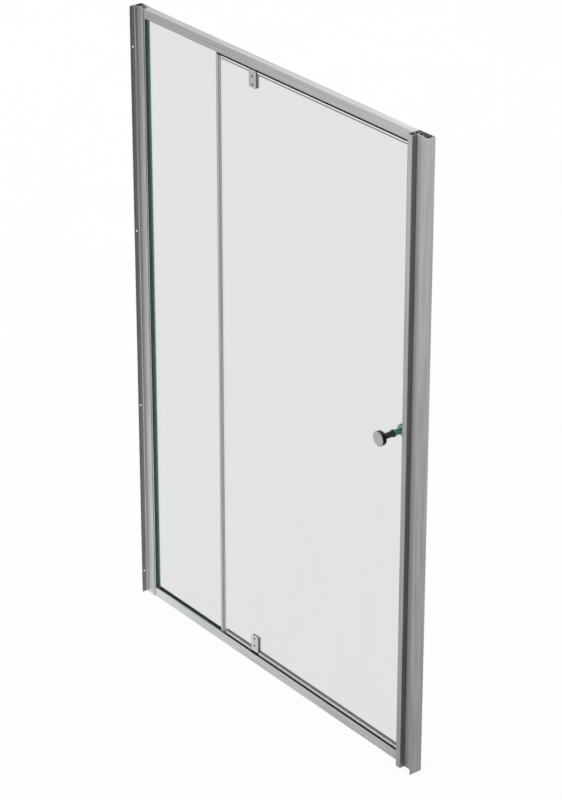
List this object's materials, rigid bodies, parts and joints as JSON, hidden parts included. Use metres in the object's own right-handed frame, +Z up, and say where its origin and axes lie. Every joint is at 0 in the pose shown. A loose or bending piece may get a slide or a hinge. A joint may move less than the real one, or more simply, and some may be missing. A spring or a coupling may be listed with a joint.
{
  "type": "pivot shower door",
  "caption": "Framed alcove shower front: a fixed clear glass panel beside a clear glass door that turns outwards on top and bottom pivot blocks, with a round knob and a magnetic strike seal.",
  "frame": {"origin": "middle of the opening, on the tray under the bottom rail, in the middle plane of the glass", "axes": "+X along the opening from the left wall to the right wall as seen from the room, +Y from the room into the shower, +Z up"},
  "size_m": [1.236, 0.106, 1.85],
  "materials": {
    "frame_alloy": "bright satin anodised extrusion",
    "clear_glass": "clear 6 mm toughened glass with green edges",
    "black_rubber": "black glazing gasket",
    "clear_seal": "translucent flexible seal",
    "magnet_strip": "flexible magnet strip",
    "black_infill": "soft black infill seal",
    "strip_alloy": "bright satin edge strip",
    "polished_metal": "polished, turned",
    "block_metal": "bright plated die casting",
    "steel": "plain stainless screws and pins",
    "screw_black": "flat head in a dark counterbore",
    "black_plastic": "low-friction bearing plastic",
    "soft_pad": "soft clear pad"
  },
  "bodies": {
    "frame": {"left_wall_channel": "frame_alloy", "right_wall_channel": "frame_alloy", "left_jamb": "frame_alloy", "strike_jamb": "frame_alloy", "top_rail": "frame_alloy", "bottom_rail": "frame_alloy", "corner_screws_left": "steel", "corner_screws_right": "steel", "side_screws_left": "steel", "side_screws_right": "steel", "fixed_glass": "clear_glass", "fixed_gasket_side": "black_rubber", "fixed_gasket_top": "black_rubber", "fixed_gasket_bottom": "black_rubber", "fixed_edge_profile": "frame_alloy", "fixed_edge_gasket": "black_rubber", "fixed_edge_seal": "clear_seal", "top_infill_short": "black_infill", "top_infill_long": "black_infill", "bottom_infill_short": "black_infill", "bottom_infill_long": "black_infill", "top_pivot_bush": "black_plastic", "bottom_pivot_bush": "black_plastic", "strike_magnet_carrier": "clear_seal", "strike_magnet": "magnet_strip"},
    "door": {"door_glass": "clear_glass", "door_top_strip_short": "strip_alloy", "door_top_strip_long": "strip_alloy", "door_sweep_short": "strip_alloy", "door_sweep_long": "strip_alloy", "door_seal": "clear_seal", "door_magnet": "magnet_strip", "knob_outer": "polished_metal", "knob_inner": "polished_metal", "knob_washer_outer": "soft_pad", "knob_washer_inner": "soft_pad", "knob_stud": "steel", "top_pivot_cover": "block_metal", "top_pivot_body": "block_metal", "top_pivot_pad_outer": "soft_pad", "top_pivot_pad_inner": "soft_pad", "top_pivot_screws": "screw_black", "top_pivot_pin": "steel", "top_pivot_collar": "black_plastic", "bottom_pivot_cover": "block_metal", "bottom_pivot_body": "block_metal", "bottom_pivot_pad_outer": "soft_pad", "bottom_pivot_pad_inner": "soft_pad", "bottom_pivot_screws": "screw_black", "bottom_pivot_pin": "steel", "bottom_pivot_collar": "black_plastic"}
  },
  "joints": [
    {"name": "door_pivot", "type": "hinge", "parent": "frame", "child": "door", "pos_m": [-0.0955, 0, 0], "axis": [0, 0, -1], "range_deg": [0, 90]}
  ]
}
